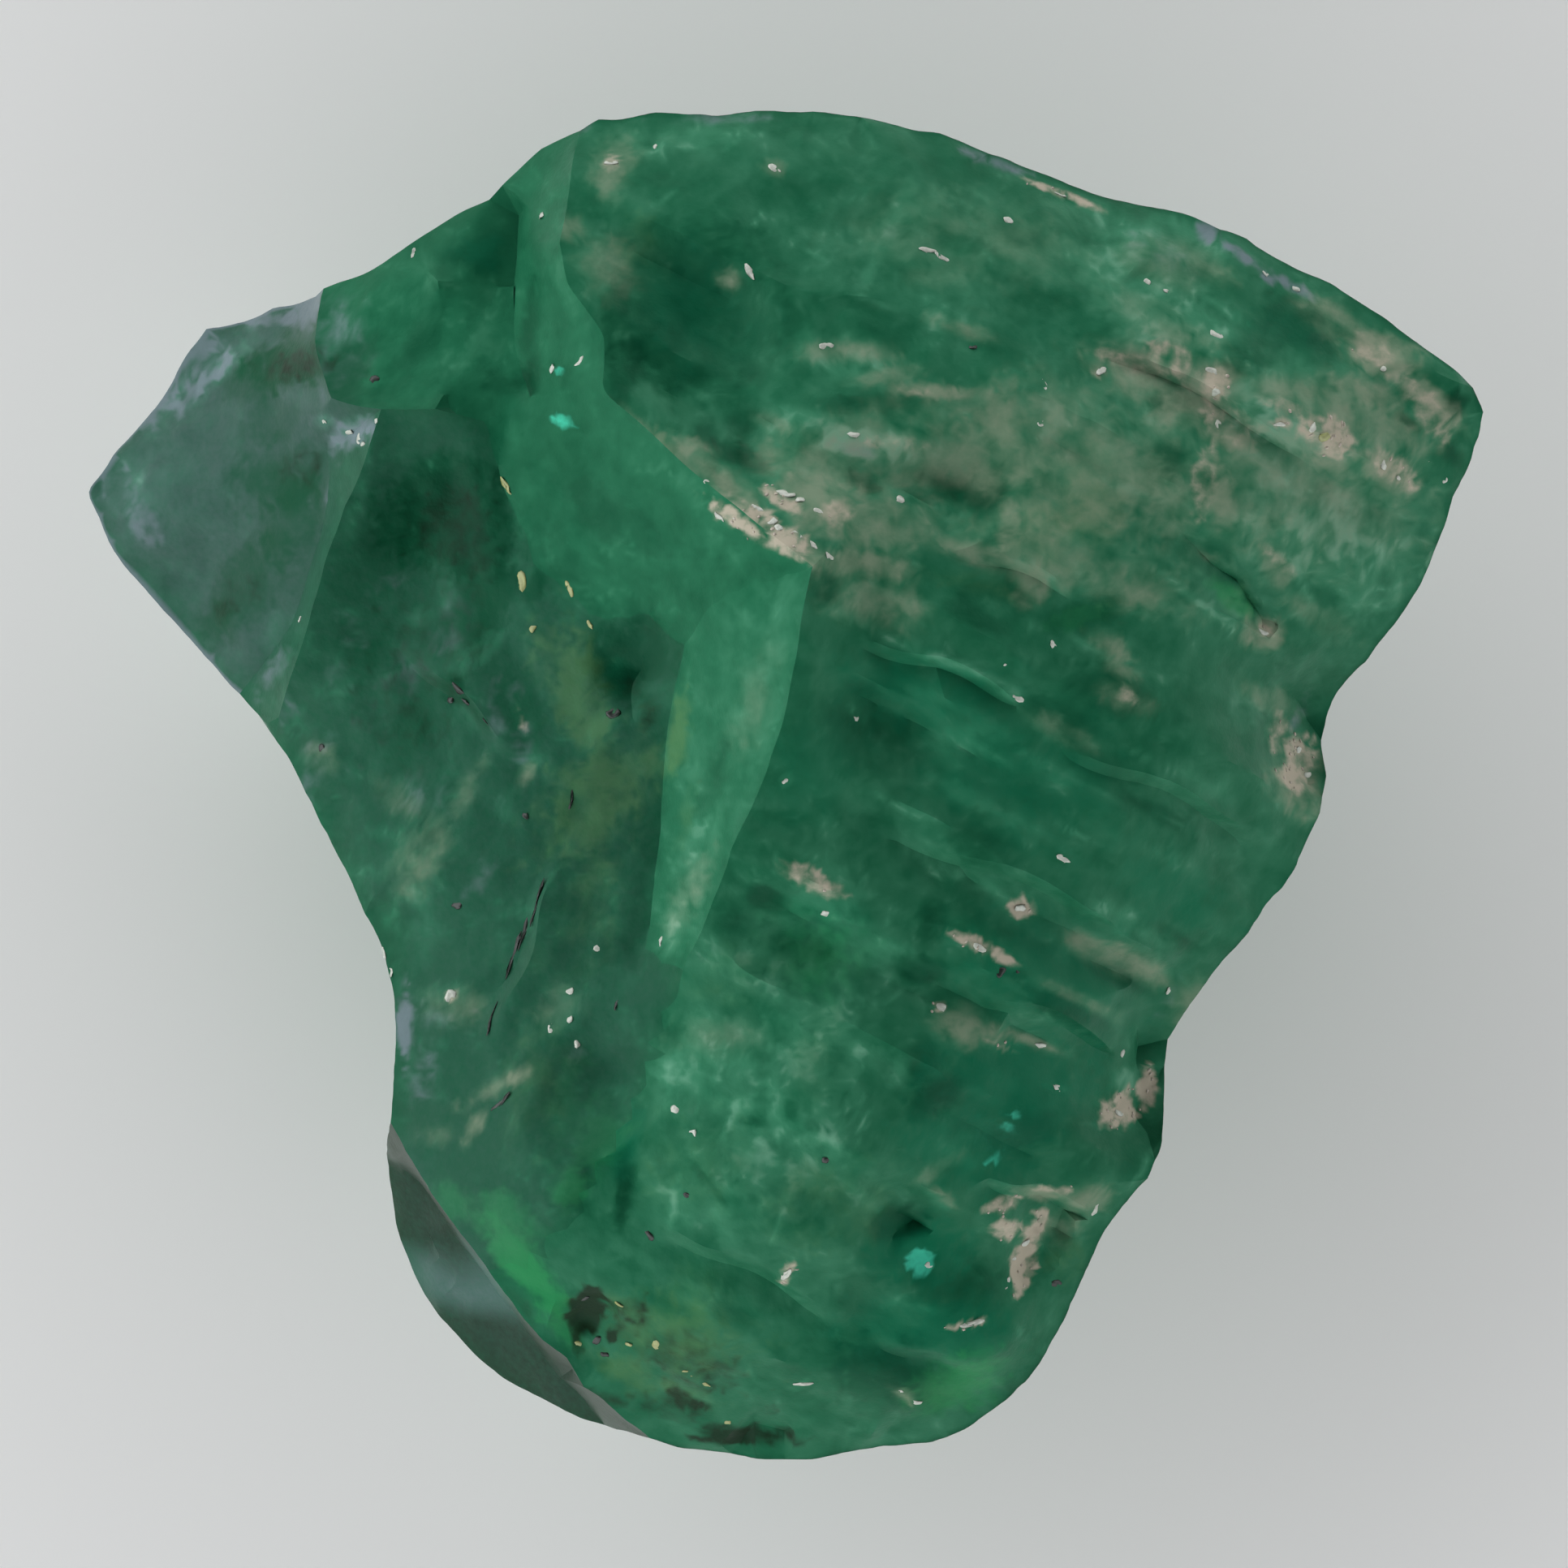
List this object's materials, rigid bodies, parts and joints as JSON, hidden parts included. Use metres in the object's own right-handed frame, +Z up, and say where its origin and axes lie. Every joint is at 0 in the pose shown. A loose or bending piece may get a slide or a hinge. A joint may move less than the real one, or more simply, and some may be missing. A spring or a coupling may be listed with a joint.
{
  "type": "rough emerald crystal",
  "caption": "Broken fragment of green emerald crystal with a sharp crest, a wide striated face, smooth facets, a low tip and lobe, and a small flat underneath that it lies on.",
  "frame": {"origin": "middle of the stone's box in plan, on the level of the flat it lies on", "axes": "+Z up out of the rest face, towards the face seen in the picture; +X across the stone's widest way, to the right of the picture; +Y to the top of the picture"},
  "size_m": [0.018, 0.0174, 0.0096],
  "materials": {
    "emerald": "vitreous natural fracture, clear to cloudy green with beige stains"
  },
  "bodies": {
    "root": {"emerald_crystal": "emerald"}
  },
  "joints": []
}
